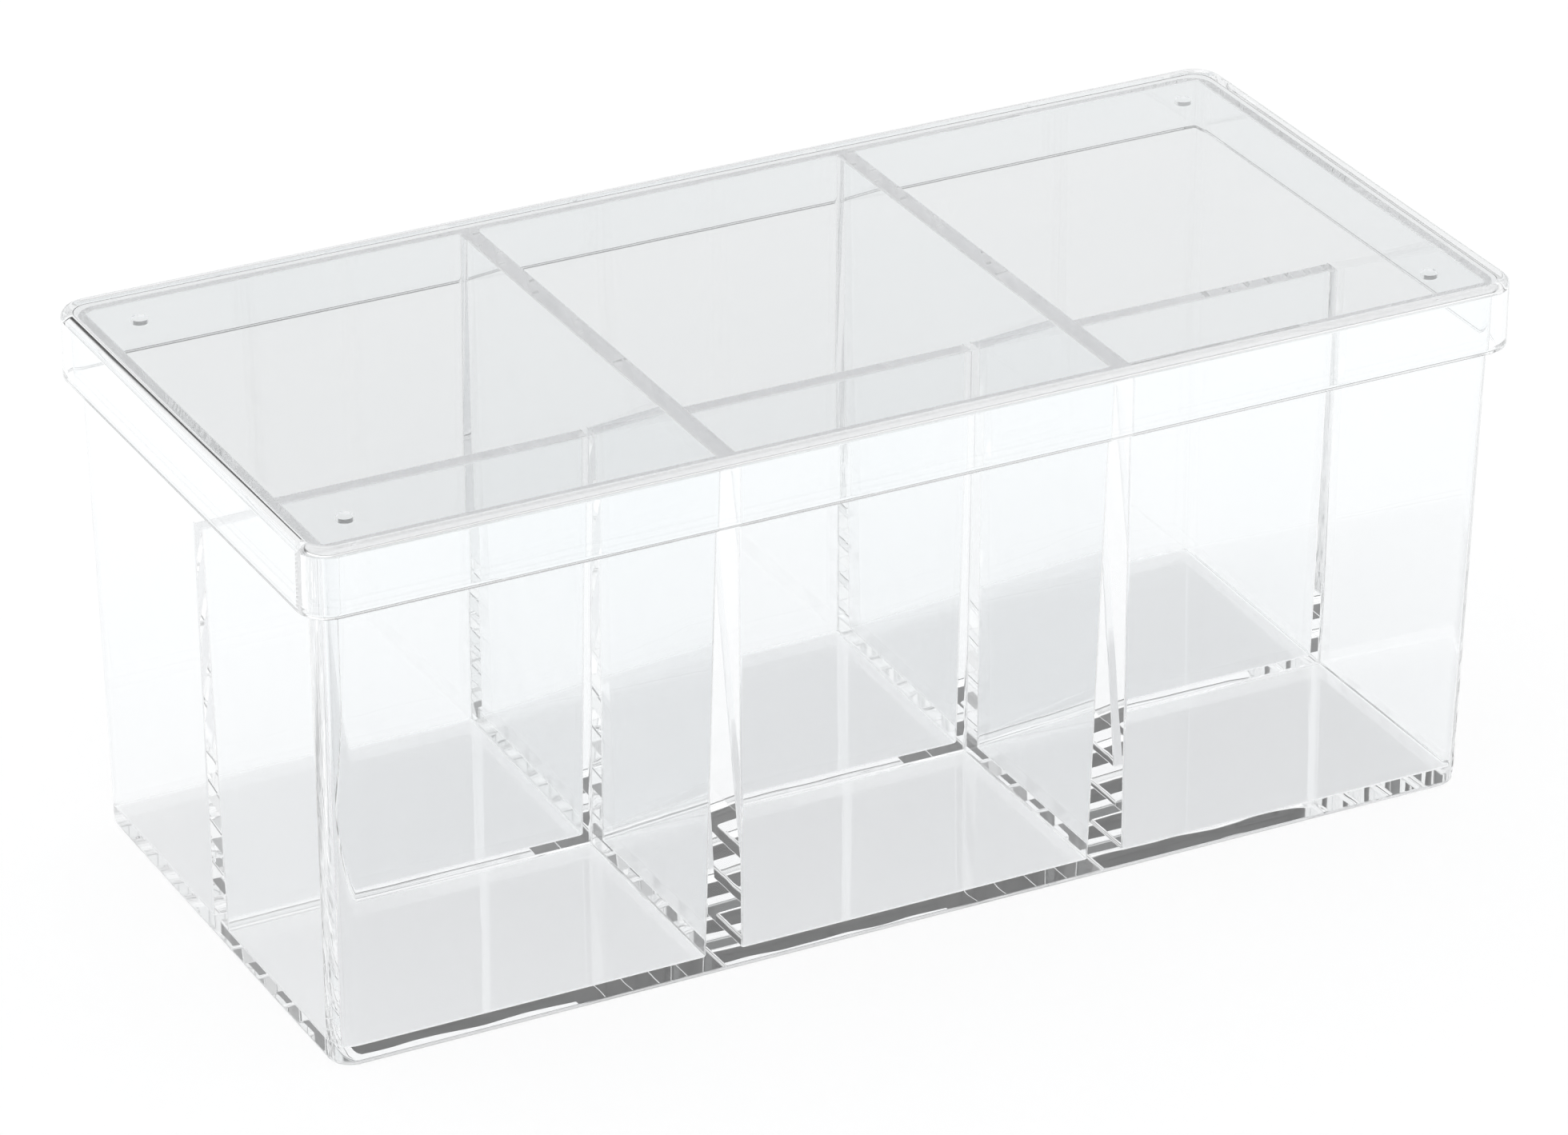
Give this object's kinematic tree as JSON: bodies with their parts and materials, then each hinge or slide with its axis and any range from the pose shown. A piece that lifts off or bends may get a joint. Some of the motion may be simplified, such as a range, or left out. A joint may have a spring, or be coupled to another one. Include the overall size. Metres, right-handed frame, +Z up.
{
  "type": "card storage box",
  "caption": "Clear rectangular box with a lift-off lid and upright wells for decks of cards, parted by two tall cross dividers and a lower lengthwise one.",
  "frame": {"origin": "middle of the tub's flat base, on the surface it stands on", "axes": "+X along the box's length, +Y from the front to the back, +Z up and out of the tub's open top"},
  "size_m": [0.229, 0.108, 0.0997],
  "materials": {
    "tub_plastic": "clear moulded plastic, polished, very faint cool tint",
    "divider_plastic": "clear moulded plastic, polished, the same moulding as the tub",
    "lid_plastic": "clear moulded plastic, polished"
  },
  "bodies": {
    "tub": {"tub": "tub_plastic", "cross_divider_left": "divider_plastic", "cross_divider_right": "divider_plastic", "lengthwise_divider_left": "divider_plastic", "lengthwise_divider_middle": "divider_plastic", "lengthwise_divider_right": "divider_plastic"},
    "lid": {"lid": "lid_plastic"}
  },
  "joints": [
    {"name": "lid_lift", "type": "slide", "parent": "tub", "child": "lid", "axis": [0, 0, 1], "range_m": [0, 0.06]}
  ]
}
